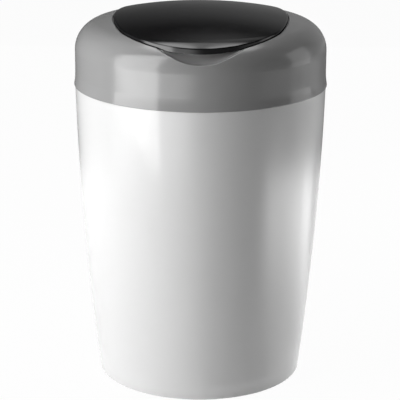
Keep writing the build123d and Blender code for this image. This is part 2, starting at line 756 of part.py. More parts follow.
arm_bottom = hinge_z - hinge_arm_drop
arm_root = lid_back_y - panel_inset - panel_wall
with BuildPart() as lid_inner:
    add(outline_prism(panel_inset, liner_floor_height, above_all))
    add(lid_underside, mode=Mode.INTERSECT)
    add(dome_fill(panel_rise, hem_height), mode=Mode.SUBTRACT)
    add(panel_hollow.part, mode=Mode.SUBTRACT)
    arm_heights = (arm_bottom, arm_bottom + hinge_arm_thickness)
    add(block((-arm_half, arm_half), (arm_root, hinge_y), arm_heights))
    add(cross_rod(hinge_barrel_radius, arm_half))
    add(cross_rod(pin_radius + pin_fit, arm_half + 1), mode=Mode.SUBTRACT)
    for row, seat in zip(lid_screw_rows, head_seats):
        add(rod(screw_hole, row, seat - panel_depth, seat + panel_wall), mode=Mode.SUBTRACT)
        add(rod(screw_head_radius + spot_gap, row, seat - panel_depth, seat), mode=Mode.SUBTRACT)
finish(lid_inner.part, "lid_inner")

with BuildPart() as lid_screws:
    for row, seat in zip(lid_screw_rows, head_seats):
        add(upward_screws(row, seat))
finish(lid_screws.part, "lid_screws")

# Lid seal: soft band between the lid's underside and the liner's lip
with BuildPart() as lid_seal:
    add(outline_prism(seal_outer_inset, liner_floor_height, above_all))
    add(lid_underside, mode=Mode.INTERSECT)
    add(dome_fill(seal_gap - lip_drop, hem_height), mode=Mode.SUBTRACT)
    add(outline_prism(seal_outer_inset + seal_width, liner_floor_height, above_all), mode=Mode.SUBTRACT)
finish(lid_seal.part, "lid_seal")
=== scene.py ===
import math

import bmesh
import bpy
import numpy as np
from mathutils import Matrix, Vector


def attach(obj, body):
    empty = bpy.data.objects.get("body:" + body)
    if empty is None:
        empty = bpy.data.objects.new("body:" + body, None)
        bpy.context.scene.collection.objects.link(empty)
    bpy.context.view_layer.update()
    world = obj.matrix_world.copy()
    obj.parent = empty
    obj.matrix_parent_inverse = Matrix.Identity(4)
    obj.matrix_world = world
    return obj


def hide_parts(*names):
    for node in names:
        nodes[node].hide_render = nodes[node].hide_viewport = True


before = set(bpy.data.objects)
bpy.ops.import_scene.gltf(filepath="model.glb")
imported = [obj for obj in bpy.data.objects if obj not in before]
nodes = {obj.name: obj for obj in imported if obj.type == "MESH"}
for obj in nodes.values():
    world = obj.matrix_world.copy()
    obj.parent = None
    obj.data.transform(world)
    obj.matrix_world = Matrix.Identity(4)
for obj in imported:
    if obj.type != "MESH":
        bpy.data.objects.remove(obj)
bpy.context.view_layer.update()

# Nappy bin: tapered white tub, grey hood with an oval black lid, film cassette inside.
# Everything is in metres in the CAD frame: +Z up, front towards -Y, foot at z = 0.

print("stage: frame loaded,", len(nodes), "nodes")


# ---- small node-graph helpers ----

# Starts a material: its Principled shader, Object coordinates, and a function that adds a node.
# A value given to an input is set on the socket, and a socket given to it is linked.
def startMaterial(name):
    material = bpy.data.materials.new(name)
    material.use_nodes = True
    tree = material.node_tree
    tree.nodes.clear()
    output = tree.nodes.new("ShaderNodeOutputMaterial")
    shader = tree.nodes.new("ShaderNodeBsdfPrincipled")
    tree.links.new(shader.outputs[0], output.inputs[0])
    place = tree.nodes.new("ShaderNodeTexCoord").outputs["Object"]

    def feed(node, inputs):
        byName = {socket.identifier: socket for socket in node.inputs}
        for key, value in inputs.items():
            socket = byName[key]
            if isinstance(value, bpy.types.NodeSocket):
                tree.links.new(value, socket)
            else:
                socket.default_value = value

    def make(kind, inputs, out=0, **settings):
        node = tree.nodes.new(kind)
        for key, value in settings.items():
            setattr(node, key, value)
        feed(node, inputs)
        if isinstance(out, str):
            return next(socket for socket in node.outputs if socket.identifier == out)
        return node.outputs[out]

    return material, shader, place, make, feed


def noise(make, place, scale, detail=2.0, roughness=0.5):
    inputs = {"Vector": place, "Scale": scale, "Detail": detail, "Roughness": roughness}
    return make("ShaderNodeTexNoise", inputs)


def stretched(make, place, stretch):
    return make("ShaderNodeMapping", {"Vector": place, "Scale": stretch})


def ranged(make, value, fromLow, fromHigh, low, high):
    inputs = {"Value": value, "From Min": fromLow, "From Max": fromHigh, "To Min": low, "To Max": high}
    return make("ShaderNodeMapRange", inputs, interpolation_type="SMOOTHSTEP")


def blended(make, factor, first, second):
    inputs = {"Factor_Float": factor, "A_Color": first, "B_Color": second}
    return make("ShaderNodeMix", inputs, out="Result_Color", data_type="RGBA")


def shade(colour, share):
    return (*(min(1.0, part * share) for part in colour), 1.0)


def bumps(make, height, depth, under=None):
    inputs = {"Height": height, "Strength": 1.0, "Distance": depth}
    if under is not None:
        inputs["Normal"] = under
    return make("ShaderNodeBump", inputs)


# ---- finishes ----

# Moulded plastic: faint cloudy colour, a rippled skin, wiped streaks in the gloss, fine grain where
# the tool was spark-eroded, and dust gathered on the lowest few millimetres.
def mouldedPlastic(name, look):
    material, shader, place, make, feed = startMaterial(name)
    colour = look["colour"]
    cloud = noise(make, place, look["cloudScale"], 3.0)
    base = blended(make, cloud, shade(colour, 1 - look["cloudDepth"]), shade(colour, 1 + look["cloudDepth"]))
    if look["dustHeight"] > 0:
        height = make("ShaderNodeSeparateXYZ", {"Vector": place}, out="Z")
        patchy = noise(make, place, 90, 4.0, 0.6)
        low = ranged(make, height, 0.0, look["dustHeight"], look["dustShare"], 0.0)
        share = make("ShaderNodeMath", {"Value": low, "Value_001": patchy}, operation="MULTIPLY")
        base = blended(make, share, base, (0.5, 0.49, 0.47, 1))
    wipes = noise(make, stretched(make, place, look["wipeStretch"]), look["wipeScale"], 4.0, 0.6)
    low, high = look["roughness"]
    rough = ranged(make, wipes, 0.3, 0.7, low, high)
    skin = bumps(make, noise(make, place, look["rippleScale"], 1.0), look["rippleDepth"])
    if look["grainDepth"] > 0:
        grain = noise(make, place, look["grainScale"], 2.0, 0.7)
        skin = bumps(make, grain, look["grainDepth"], skin)
    if look["scratchDepth"] > 0:
        streaks = noise(make, stretched(make, place, (1, 1, 0.02)), 2600, 1.0)
        thin = ranged(make, streaks, 0.66, 0.72, 0.0, 1.0)
        where = ranged(make, noise(make, place, 34, 2.0), 0.5, 0.66, 0.0, 1.0)
        marks = make("ShaderNodeMath", {"Value": thin, "Value_001": where}, operation="MULTIPLY")
        skin = bumps(make, marks, -look["scratchDepth"], skin)
    feed(shader, {"Base Color": base, "Roughness": rough, "Normal": skin, "IOR": look["ior"]})
    if look["depth"] > 0:
        feed(shader, {"Subsurface Weight": look["depth"], "Subsurface Radius": (0.003, 0.003, 0.003),
                      "Subsurface Scale": 1.0})
    return material


# Soft elastomer: dull, finely pitted, paler where talc and dust sit.
def elastomer(name, look):
    material, shader, place, make, feed = startMaterial(name)
    dusty = ranged(make, noise(make, place, 55, 4.0, 0.65), 0.45, 0.75, 0.0, look["dust"])
    base = blended(make, dusty, shade(look["colour"], 1), look["dustColour"])
    rough = ranged(make, noise(make, place, 120, 3.0), 0.3, 0.7, 0.55, 0.78)
    skin = bumps(make, noise(make, place, 1500, 2.0, 0.7), look["pitDepth"])
    feed(shader, {"Base Color": base, "Roughness": rough, "Normal": skin, "IOR": 1.48, "Sheen Weight": 0.15,
                  "Sheen Roughness": 0.4})
    return material


# Zinc-plated or ground steel: fine grinding lines, cloudy plating and a few dull spots.
def steel(name, look):
    material, shader, place, make, feed = startMaterial(name)
    cloud = noise(make, place, 260, 4.0, 0.6)
    base = blended(make, cloud, shade(look["colour"], 0.86), shade(look["colour"], 1.08))
    lines = noise(make, stretched(make, place, look["lineStretch"]), 5200, 2.0)
    rough = ranged(make, cloud, 0.3, 0.7, *look["roughness"])
    skin = bumps(make, lines, look["lineDepth"])
    feed(shader, {"Base Color": base, "Roughness": rough, "Normal": skin, "Metallic": 1.0})
    return material


# Thin film: translucent, wrinkled along its folds, glossier on the creases, with painted shade: its colour is darker
# in the wrinkles' hollows and lighter on their crests.
def thinFilm(name, look):
    material, shader, place, make, feed = startMaterial(name)
    crinkle = noise(make, stretched(make, place, (1, 1, 3)), 240, 4.0, 0.65)
    # painted shade of the wrinkles: the colour follows their relief, darker in the hollows and lighter on the crests
    base = blended(make, crinkle, shade(look["colour"], 0.88), shade(look["colour"], 1.1))
    rough = ranged(make, crinkle, 0.35, 0.65, 0.42, 0.24)
    skin = bumps(make, crinkle, look["crinkleDepth"])
    feed(shader, {"Base Color": base, "Roughness": rough, "Normal": skin, "IOR": 1.5,
                  "Subsurface Weight": 0.35, "Subsurface Radius": (0.003, 0.004, 0.0035), "Subsurface Scale": 1.0})
    return material


glossLook = dict(cloudScale=16, cloudDepth=0.012, dustHeight=0.0, dustShare=0.0, wipeStretch=(1, 1, 0.25),
                 wipeScale=60, roughness=(0.12, 0.2), rippleScale=420, rippleDepth=7e-6, grainScale=2200,
                 grainDepth=0.0, scratchDepth=1.5e-6, ior=1.6, depth=0.0)
satinLook = {**glossLook, "roughness": (0.36, 0.5), "grainDepth": 9e-6, "scratchDepth": 0.0, "cloudDepth": 0.03}
finishes = {
    "tubWhite": mouldedPlastic("tubWhite", {**glossLook, "colour": (0.8, 0.8, 0.8), "dustHeight": 0.012,
                                            "dustShare": 0.25}),
    "hoodGrey": mouldedPlastic("hoodGrey", {**glossLook, "colour": (0.34, 0.34, 0.34)}),
    "lidBlack": mouldedPlastic("lidBlack", {**glossLook, "colour": (0.009, 0.009, 0.0095), "cloudDepth": 0.05,
                                            "roughness": (0.13, 0.175)}),
    "linerGrey": mouldedPlastic("linerGrey", {**satinLook, "colour": (0.3, 0.3, 0.3)}),
    "innerBlack": mouldedPlastic("innerBlack", {**satinLook, "colour": (0.028, 0.028, 0.03)}),
    "carrierPale": mouldedPlastic("carrierPale", {**satinLook, "colour": (0.7, 0.715, 0.72), "depth": 0.05}),
    "trayWhite": mouldedPlastic("trayWhite", {**glossLook, "colour": (0.82, 0.83, 0.83), "roughness": (0.2, 0.32),
                                              "depth": 0.12}),
    "twistGrey": mouldedPlastic("twistGrey", {**satinLook, "colour": (0.36, 0.365, 0.37),
                                              "roughness": (0.25, 0.36)}),
    "cutterGrey": mouldedPlastic("cutterGrey", {**satinLook, "colour": (0.2, 0.205, 0.21)}),
    "fingerRubber": elastomer("fingerRubber", dict(colour=(0.14, 0.155, 0.165), dust=0.4, pitDepth=1.2e-5,
                                                   dustColour=(0.42, 0.43, 0.43, 1))),
    "sealRubber": elastomer("sealRubber", dict(colour=(0.045, 0.045, 0.048), dust=0.2, pitDepth=8e-6,
                                               dustColour=(0.3, 0.3, 0.3, 1))),
    "zincSteel": steel("zincSteel", dict(colour=(0.6, 0.6, 0.62), roughness=(0.24, 0.42), lineDepth=2e-6,
                                         lineStretch=(1, 1, 0.1))),
    "bladeSteel": steel("bladeSteel", dict(colour=(0.66, 0.67, 0.68), roughness=(0.16, 0.28), lineDepth=3e-6,
                                           lineStretch=(1, 0.04, 1))),
    "filmGreen": thinFilm("filmGreen", dict(colour=(0.55, 0.72, 0.62), crinkleDepth=6e-5)),
}
print("stage: finishes,", len(finishes))

# CAD nodes that stay as they are and get a finish
dressed = {
    "tub": "tubWhite", "hood_shell": "hoodGrey", "lid_shell": "lidBlack", "hood_liner": "linerGrey",
    "lid_inner": "innerBlack", "cassette_carrier": "carrierPale", "diaphragm_clamp_ring": "carrierPale",
    "cassette_tray": "trayWhite", "cassette_cap": "trayWhite", "twist_ring": "twistGrey",
    "cutter_body": "cutterGrey",
}
for node, finish in dressed.items():
    for place in nodes[node].material_slots:
        place.material = finishes[finish]
print("stage: CAD nodes dressed")


# ---- mesh helpers ----

# Quads of a grid of points, rows by columns. A wrapped direction joins its last line to its first.
def gridQuads(rows, columns, wrapRows, wrapColumns):
    row = np.arange(rows if wrapRows else rows - 1)
    column = np.arange(columns if wrapColumns else columns - 1)
    r, c = (part.ravel() for part in np.meshgrid(row, column, indexing="ij"))
    nextR, nextC = (r + 1) % rows, (c + 1) % columns
    return np.stack([r * columns + c, nextR * columns + c, nextR * columns + nextC, r * columns + nextC], 1)


# Makes one piece from closed grids of points. Poles and seams are welded, and faces are turned outward.
def makePiece(name, grids, finish, body, replaced=(), weld=2e-7):
    points, quads, start = [], [], 0
    for grid, wrapRows, wrapColumns in grids:
        rows, columns = grid.shape[:2]
        points.append(grid.reshape(-1, 3))
        quads.append(gridQuads(rows, columns, wrapRows, wrapColumns) + start)
        start += rows * columns
    points, quads = np.concatenate(points), np.concatenate(quads)
    mesh = bpy.data.meshes.new(name)
    mesh.vertices.add(len(points))
    mesh.vertices.foreach_set("co", points.astype(np.float32).ravel())
    mesh.loops.add(quads.size)
    mesh.loops.foreach_set("vertex_index", quads.ravel().astype(np.int32))
    mesh.polygons.add(len(quads))
    mesh.polygons.foreach_set("loop_start", np.arange(0, quads.size, 4, dtype=np.int32))
    mesh.update(calc_edges=True)
    tidy = bmesh.new()
    tidy.from_mesh(mesh)
    bmesh.ops.remove_doubles(tidy, verts=tidy.verts, dist=weld)
    bmesh.ops.dissolve_degenerate(tidy, edges=tidy.edges, dist=weld)
    bmesh.ops.recalc_face_normals(tidy, faces=tidy.faces)
    if tidy.calc_volume(signed=True) < 0:
        bmesh.ops.reverse_faces(tidy, faces=tidy.faces)
    tidy.to_mesh(mesh)
    tidy.free()
    mesh.polygons.foreach_set("use_smooth", np.ones(len(mesh.polygons), dtype=bool))
    mesh.materials.append(finishes[finish])
    piece = bpy.data.objects.new(name, mesh)
    bpy.context.scene.collection.objects.link(piece)
    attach(piece, body)
    if replaced:
        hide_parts(*replaced)
    return piece


# Marks edges sharper than an angle as hard, so that a smooth mesh keeps its corners.
def hardEdges(piece, degrees):
    tidy = bmesh.new()
    tidy.from_mesh(piece.data)
    limit = math.radians(degrees)
    for edge in tidy.edges:
        edge.smooth = edge.calc_face_angle(0.0) < limit
    tidy.to_mesh(piece.data)
    tidy.free()


def smoothStep(value):
    value = np.clip(value, 0.0, 1.0)
    return value * value * (3 - 2 * value)


# ---- the hood's and lid's shared surface and outline, with the CAD's own sizes ----

dome = dict(radius=0.468, centre=-0.0753253, wallRadius=0.1311, shoulderRadius=0.0293, shoulderHeight=0.3514)
outline = dict(sideRadius=0.231, halfWidth=0.0903, widestY=0.0037, frontY=-0.1218, backY=0.088,
               cornerRadius=0.042)


# Height of the hood's surface, moved outward by rise: a sphere, then a shoulder arc near the wall.
def domeHeight(x, y, rise):
    distance = np.hypot(x, y)
    shoulder = dome["wallRadius"] - dome["shoulderRadius"]
    lean = math.asin(shoulder / (dome["radius"] - dome["shoulderRadius"]))
    sphere = dome["centre"] + np.sqrt((dome["radius"] + rise) ** 2 - distance**2)
    reach = np.clip(distance - shoulder, 0, dome["shoulderRadius"] + rise)
    arc = dome["shoulderHeight"] + np.sqrt((dome["shoulderRadius"] + rise) ** 2 - reach**2)
    return np.where(distance < (dome["radius"] + rise) * math.sin(lean), sphere, arc)


# The lid's plan outline at count even steps: a nose arc, two side arcs, two corner arcs and a straight
# back, each tangent to the next. Gives the points and their outward directions.
def lidOutline(count):
    sideCentre = outline["sideRadius"] - outline["halfWidth"]
    noseRun = outline["widestY"] - outline["frontY"]
    noseSquare = sideCentre**2 + noseRun**2 - outline["sideRadius"] ** 2
    noseRadius = noseSquare / (noseRun - outline["sideRadius"]) / 2
    noseY = outline["frontY"] + noseRadius
    noseTurn = math.atan2(noseY - outline["widestY"], sideCentre)
    cornerY = outline["backY"] - outline["cornerRadius"]
    cornerTurn = math.asin((cornerY - outline["widestY"]) / (outline["sideRadius"] - outline["cornerRadius"]))
    cornerX = (outline["sideRadius"] - outline["cornerRadius"]) * math.cos(cornerTurn) - sideCentre
    arcs = [
        (0, noseY, noseRadius, -math.pi - noseTurn, noseTurn),
        (-sideCentre, outline["widestY"], outline["sideRadius"], noseTurn, cornerTurn),
        (cornerX, cornerY, outline["cornerRadius"], cornerTurn, math.pi / 2),
        (-cornerX, cornerY, outline["cornerRadius"], math.pi / 2, math.pi - cornerTurn),
        (sideCentre, outline["widestY"], outline["sideRadius"], math.pi - cornerTurn, math.pi - noseTurn),
    ]
    lengths = [radius * (stop - start) for _, _, radius, start, stop in arcs]
    lengths.insert(3, 2 * cornerX)
    ends = np.cumsum(lengths)
    along = np.arange(count) / count * ends[-1]
    points, normals = np.zeros((count, 2)), np.zeros((count, 2))
    straight = (along >= ends[2]) & (along < ends[3])
    points[straight] = np.stack([cornerX - (along[straight] - ends[2]), np.full(straight.sum(), outline["backY"])], 1)
    normals[straight] = (0, 1)
    for (x, y, radius, start, _), first, last in zip(arcs, [0, *ends[[0, 1, 3, 4]]], ends[[0, 1, 2, 4, 5]]):
        chosen = (along >= first) & (along < last)
        turn = start + (along[chosen] - first) / radius
        normals[chosen] = np.stack([np.cos(turn), np.sin(turn)], 1)
        points[chosen] = np.array([x, y]) + radius * normals[chosen]
    return points, normals


# ---- lid seal ----

sealLook = dict(outerInset=0.003, innerInset=0.008, topRise=-0.0004, tipRise=-0.00178, baseThickness=0.0005,
                lipRadius=0.00055, steps=420)


# Profile carried along the lid's outline: a flat strip against the lid with two round lips below it.
# The first parameter is the way round the outline, the second the way round the profile.
def sealSurface(look):
    points, normals = lidOutline(look["steps"])
    width = look["innerInset"] - look["outerInset"]
    turn = np.linspace(math.pi, 2 * math.pi, 9)
    lips = []
    for share in (0.2, 0.8):
        centreInset = look["outerInset"] + width * share
        centreRise = look["tipRise"] + look["lipRadius"]
        inset = centreInset + look["lipRadius"] * np.cos(turn)
        rise = centreRise + look["lipRadius"] * np.sin(turn)
        lips.append((inset, rise))
    under = look["topRise"] - look["baseThickness"]
    inset = np.concatenate([[look["outerInset"], look["outerInset"]], lips[0][0], lips[1][0],
                            [look["innerInset"], look["innerInset"]]])
    rise = np.concatenate([[look["topRise"], under], lips[0][1], lips[1][1], [under, look["topRise"]]])
    plan = points[:, None, :] - normals[:, None, :] * inset[None, :, None]
    height = domeHeight(plan[..., 0], plan[..., 1], 0.0) + rise
    return np.concatenate([plan, height[..., None]], 2)


seal = makePiece("lidSealLips", [(sealSurface(sealLook), True, True)], "sealRubber", "lid",
                 ["lid_seal"])
hardEdges(seal, 50)
print("stage: lid seal")

# ---- gripper diaphragm ----

fingerLook = dict(rimRadius=0.08, rootRadius=0.059, tipRadius=0.020, rimTop=0.300, rimBottom=0.297, drop=0.011,
                  tipThickness=0.0012, fingers=8, slit=0.0016, slitEnd=0.0545, edge=0.0005, bead=0.0007,
                  ripples=3, rippleHeight=0.00018, angleSteps=26, radiusSteps=84)


# A disc cut into fingers by slits. The first parameter runs round each finger's sector from slit to slit,
# the second along the radius and over both faces: rim, curved slope, beaded tip and back underneath.
# Thickness fades to nothing over a quarter round at every edge, so the two faces meet there.
def fingerSurfaces(look):
    share = np.sin(np.linspace(-math.pi / 2, math.pi / 2, look["angleSteps"]))
    radius = look["tipRadius"] + (look["rimRadius"] - look["tipRadius"]) * np.linspace(0, 1, look["radiusSteps"])
    share, radius = np.meshgrid(share, radius, indexing="ij")
    sector = math.pi / look["fingers"]
    endRadius = look["slit"] / 2
    beyond = np.clip(radius - (look["slitEnd"] - endRadius), 0, endRadius)
    halfSlit = np.sqrt(np.maximum(endRadius**2 - beyond**2, 0))
    free = sector - np.arcsin(halfSlit / radius)
    angle = share * free
    fromSlit = np.clip(radius * (free - np.abs(angle)) / look["edge"], 0, 1)
    joined = smoothStep((radius - look["slitEnd"]) / 0.0012)
    sideRound = np.maximum(np.sqrt(1 - (1 - fromSlit) ** 2), joined)
    fromEnds = np.minimum(radius - look["tipRadius"], look["rimRadius"] - radius) / look["edge"]
    endRound = np.sqrt(1 - (1 - np.clip(fromEnds, 0, 1)) ** 2)
    down = np.clip((look["rootRadius"] - radius) / (look["rootRadius"] - look["tipRadius"]), 0, 1)
    fall = look["drop"] * (0.75 * down + 0.25 * down**2)
    full = look["rimTop"] - look["rimBottom"]
    thickness = full + (look["tipThickness"] - full) * smoothStep(down * 1.6)
    bead = look["bead"] * np.exp(-(((radius - look["tipRadius"] - 0.0012) / 0.0009) ** 2))
    ripple = look["rippleHeight"] * (0.5 - 0.5 * np.cos(2 * math.pi * look["ripples"] * np.clip(down * 1.1, 0, 1)))
    upper = look["rimTop"] - fall
    lower = upper - thickness - bead * 0.5
    middle, half = (upper + lower) / 2, (upper - lower) / 2 * sideRound * endRound
    grids = []
    for finger in range(look["fingers"]):
        turn = angle + (2 * finger + 1) * sector
        x, y = radius * np.cos(turn), radius * np.sin(turn)
        top = np.stack([x, y, middle + half - ripple * sideRound * endRound * 0.5], 2)
        bottom = np.stack([x, y, middle - half], 2)
        grids += [(top, False, False), (bottom, False, False)]
    return grids


diaphragm = makePiece("gripperFingers", fingerSurfaces(fingerLook), "fingerRubber", "bin",
                      ["gripper_diaphragm"], weld=2e-6)
print("stage: gripper diaphragm")

# ---- film pack ----

filmLook = dict(outerRadius=0.086, innerRadius=0.063, bottom=0.3068, height=0.043, pleats=22, pleatDepth=0.0016,
                waver=0.00035, roundSteps=180)


# A ring of film packed in pleats. The first parameter is the angle about Z, the second runs up the outer
# folds, across the top, down the inner folds and across the bottom. Radius is the wall less a fold wave,
# and a few slow sine waves round the ring lift and shift each fold.
def filmSurface(look):
    rise = np.linspace(0, 1, look["pleats"] * 8 + 1)
    wave = np.abs(np.sin(math.pi * look["pleats"] * rise)) ** 0.6
    tuck = look["pleatDepth"] * (1 - wave)
    across = np.linspace(0, 1, 9)[1:-1]
    outer, inner = look["outerRadius"] - tuck, look["innerRadius"] + tuck
    radius = np.concatenate([outer, outer[-1] + (inner[-1] - outer[-1]) * across, inner[::-1],
                             inner[0] + (outer[0] - inner[0]) * across])
    puff = 0.0006 * np.sin(3 * math.pi * across) ** 2
    height = np.concatenate([look["height"] * rise, look["height"] - 0.0012 + puff, look["height"] * rise[::-1],
                             0 * across])
    angle = np.arange(look["roundSteps"]) / look["roundSteps"] * 2 * math.pi
    angle, radius = np.meshgrid(angle, radius, indexing="ij")
    height = np.broadcast_to(height, radius.shape)
    middle = (look["outerRadius"] + look["innerRadius"]) / 2
    upward = np.sin(math.pi * np.clip(height / look["height"], 0, 1))
    lift = look["waver"] * upward * (np.sin(5 * angle + 60 * height) + 0.6 * np.sin(11 * angle + 1.3))
    pull = look["waver"] * 0.8 * (1 + np.sin(7 * angle + 400 * height)) * np.sign(middle - radius)
    radius, height = radius + pull, look["bottom"] + np.maximum(height + lift, 0)
    return np.stack([radius * np.cos(angle), radius * np.sin(angle), height], 2)


film = makePiece("filmPleats", [(filmSurface(filmLook), True, True)], "filmGreen", "turntable",
                 ["film_pack"])
hardEdges(film, 70)
print("stage: film pack")

# ---- screws ----

screwLook = dict(headRadius=0.0028, headHeight=0.0018, headEdge=0.0004, crown=0.00035, shankRadius=0.00122,
                 coreRadius=0.00094, length=0.0065, pitch=0.0008, crossArm=0.00042, crossReach=0.00145,
                 crossDepth=0.0011, crossEdge=0.00005, roundSteps=64, threadSteps=56)


# One screw driven upward from below, its head's flat face at the given height. The first parameter is the
# angle, the second runs out from the cross recess over the crowned head, up its side, in to the shank and
# up the thread to the tip. The recess outline is the larger of two bars' reach in each direction, and the
# thread's radius is a pointed wave of height less angle over one turn per pitch.
def screwSurface(look, x, y, top):
    angle = np.arange(look["roundSteps"]) / look["roundSteps"] * 2 * math.pi
    cos, sin = np.abs(np.cos(angle)) + 1e-9, np.abs(np.sin(angle)) + 1e-9
    cross = np.maximum(np.minimum(look["crossReach"] / cos, look["crossArm"] / sin),
                       np.minimum(look["crossReach"] / sin, look["crossArm"] / cos))
    face, rim, edge = -look["headHeight"], look["headRadius"], look["headEdge"]
    floor = face + look["crossDepth"]
    shares = np.array([0.35, 0.7, 0.9, 1.0])[:, None]
    turns = np.array([0.35, 0.7, 1.0])[:, None] * math.pi / 2
    flat = np.zeros_like(cross)
    recess = [flat, cross * 0.55, cross * 0.82, cross, cross + look["crossEdge"]]
    recessHeight = [floor, floor, floor - look["crossEdge"], face + look["crossEdge"], face]
    crown = (cross + look["crossEdge"]) * (1 - shares) + (rim - edge) * shares
    crownHeight = face + look["crown"] * shares**2
    side = rim - edge + edge * np.sin(turns)
    sideHeight = face + look["crown"] + edge * (1 - np.cos(turns))
    climb = np.linspace(0.02, 0.9, look["threadSteps"])[:, None]
    phase = (climb * look["length"] / look["pitch"] - angle / (2 * math.pi)) % 1
    crest = (1 - np.abs(2 * phase - 1)) * np.minimum(1, climb * 8)
    thread = look["coreRadius"] + (look["shankRadius"] - look["coreRadius"]) * crest
    parts = [(np.array(recess), np.array(recessHeight)[:, None]), (crown, crownHeight), (side, sideHeight),
             (np.array([[rim], [rim - look["crossEdge"]], [look["coreRadius"] * 1.2]]),
              np.array([[-look["crossEdge"]], [0], [0]])),
             (thread, climb * look["length"]),
             (np.array([[look["coreRadius"] * 0.8], [0]]), np.array([[0.95], [1.0]]) * look["length"])]
    radius = np.concatenate([part + flat for part, _ in parts])
    height = np.concatenate([part + flat for _, part in parts])
    return np.stack([x + radius * np.cos(angle), y + radius * np.sin(angle), top + height], 2)


def ringPoints(radius, count, start):
    turn = np.radians(start) + np.arange(count) / count * 2 * math.pi
    return [(radius * math.cos(a), radius * math.sin(a)) for a in turn]


def addScrews(name, places, body, node):
    grids = [(screwSurface(screwLook, x, y, top), False, True) for x, y, top in places]
    piece = makePiece(name, grids, "zincSteel", body, [node])
    hardEdges(piece, 38)
    return piece


lidSeat = [(x, y, float(domeHeight(np.array(x), np.array(y), -0.0075)) + 0.0007)
           for y in (-0.066, 0.038) for x in (-0.042, 0.042)]
addScrews("diaphragmScrewSet", [(x, y, 0.2945) for x, y in ringPoints(0.086, 6, 30)], "bin", "diaphragm_screws")
addScrews("cutterScrewSet", [(x, -0.1103, 0.334) for x in (-0.0125, 0.0125)], "bin", "cutter_screws")
addScrews("linerScrewSet", [(x, y, 0.3625) for x in (-0.103, 0.103) for y in (-0.04, 0.04)], "hood",
          "hood_liner_screws")
addScrews("lidScrewSet", lidSeat, "lid", "lid_screws")
print("stage: screws")

# ---- hinge pin ----

pinLook = dict(radius=0.0015, halfLength=0.0305, y=0.095, z=0.379501, chamfer=0.0003, flutes=18,
               fluteDepth=0.00006, fluteLength=0.006)


# A rod along X with rounded ends, finely fluted at one end where it is pressed in. The first parameter is
# the way along, the second the angle: radius less a cosine wave over the fluted length.
def pinSurface(look):
    half, chamfer = look["halfLength"], look["chamfer"]
    start = half - look["fluteLength"]
    along = np.array([-half, -half, -half + chamfer, start - 0.0004, start, half - chamfer, half, half])
    radius = np.array([0, look["radius"] - chamfer, look["radius"], look["radius"], look["radius"],
                       look["radius"], look["radius"] - chamfer, 0])
    fluted = np.array([0, 0, 0, 0, 1, 1, 0, 0])
    angle = np.arange(72) / 72 * 2 * math.pi
    wave = fluted[:, None] * look["fluteDepth"] * (0.5 - 0.5 * np.cos(look["flutes"] * angle))
    reach = radius[:, None] - wave
    x = np.broadcast_to(along[:, None], reach.shape)
    return np.stack([x, look["y"] + reach * np.cos(angle), look["z"] + reach * np.sin(angle)], 2)


pin = makePiece("hingePinTurned", [(pinSurface(pinLook), False, True)], "zincSteel", "hood",
                ["hinge_pin"])
hardEdges(pin, 30)
print("stage: hinge pin")

# ---- cutter blade ----

bladeLook = dict(y=-0.1103, halfLength=0.0055, bottom=0.3399, endTop=0.3444, middleTop=0.343, thickness=0.0005,
                 bevel=0.0011)


# A thin blade across the cutter's slot with a shallow V for an edge. The first parameter is the way along
# Y, the second goes up one side and down the other. Thickness falls to nothing over the ground bevel.
def bladeSurface(look):
    along = np.linspace(-1, 1, 41)
    share = np.array([0, 0.3, 0.6, 0.8, 0.9, 1.0])
    top = look["middleTop"] + (look["endTop"] - look["middleTop"]) * np.abs(along)
    height = look["bottom"] + (top[:, None] - look["bottom"]) * share
    edge = np.clip((top[:, None] - height) / look["bevel"], 0, 1)
    half = look["thickness"] / 2 * edge
    y = np.broadcast_to(look["y"] + look["halfLength"] * along[:, None], height.shape)
    front, back = np.stack([half, y, height], 2), np.stack([-half, y, height], 2)
    loop = np.concatenate([front, back[:, ::-1][:, 1:]], 1)
    ends = [np.stack([front[i], back[i]], 0) for i in (0, -1)]
    return [(loop, False, True), (ends[0], False, False), (ends[1], False, False)]


blade = makePiece("cutterBladeGround", bladeSurface(bladeLook), "bladeSteel", "bin",
                  ["cutter_blade"])
hardEdges(blade, 20)
print("stage: cutter blade")

# ---- ribs under the tub's floor ----

ribLook = dict(innerRadius=0.012, outerRadius=0.0985, ringRadii=(0.035, 0.066), floor=0.003, height=0.0014,
               sunk=0.0004, ribs=12, ribWidth=0.0018, draft=0.0003)


# A web of ribs under the floor, inside the foot ring. The first parameter goes round each rib's sector,
# with two lines on each flank of the rib, the second outward with two on each flank of the rings.
# The web stands down from the floor where a rib or a ring runs, and lies inside the floor elsewhere.
def ribSurfaces(look):
    half, slope = look["ribWidth"] / 2, look["draft"]
    flanks = [look["innerRadius"], look["innerRadius"] + look["ribWidth"], look["innerRadius"] + look["ribWidth"] + slope]
    raised = [1, 1, 0]
    for ring in look["ringRadii"]:
        flanks += [ring - half - slope, ring - half, ring + half, ring + half + slope]
        raised += [0, 1, 1, 0]
    flanks.append(look["outerRadius"])
    raised.append(0)
    radius, raised = np.array(flanks), np.array(raised)
    sector = math.pi / look["ribs"]
    offsets = np.array([-half - slope, -half, half, half + slope])
    onRib = np.array([0, 0, 1, 1, 0, 0])
    grids = []
    for rib in range(look["ribs"]):
        turn = np.arcsin(np.clip(offsets[None, :] / radius[:, None], -1, 1))
        turn = np.concatenate([np.full((len(radius), 1), -sector), turn, np.full((len(radius), 1), sector)], 1)
        turn = turn + 2 * rib * sector
        up = np.maximum(raised[:, None], onRib[None, :])
        z = look["floor"] + look["sunk"] - (look["height"] + look["sunk"]) * up
        x, y = radius[:, None] * np.cos(turn), radius[:, None] * np.sin(turn)
        lower = np.stack([x, y, z], 2)
        upper = np.stack([x, y, np.full_like(z, look["floor"] + 2 * look["sunk"])], 2)
        inner = np.stack([lower[0], upper[0]], 0)
        outer = np.stack([lower[-1], upper[-1]], 0)
        grids += [(lower, False, False), (upper, False, False), (inner, False, False), (outer, False, False)]
    return grids


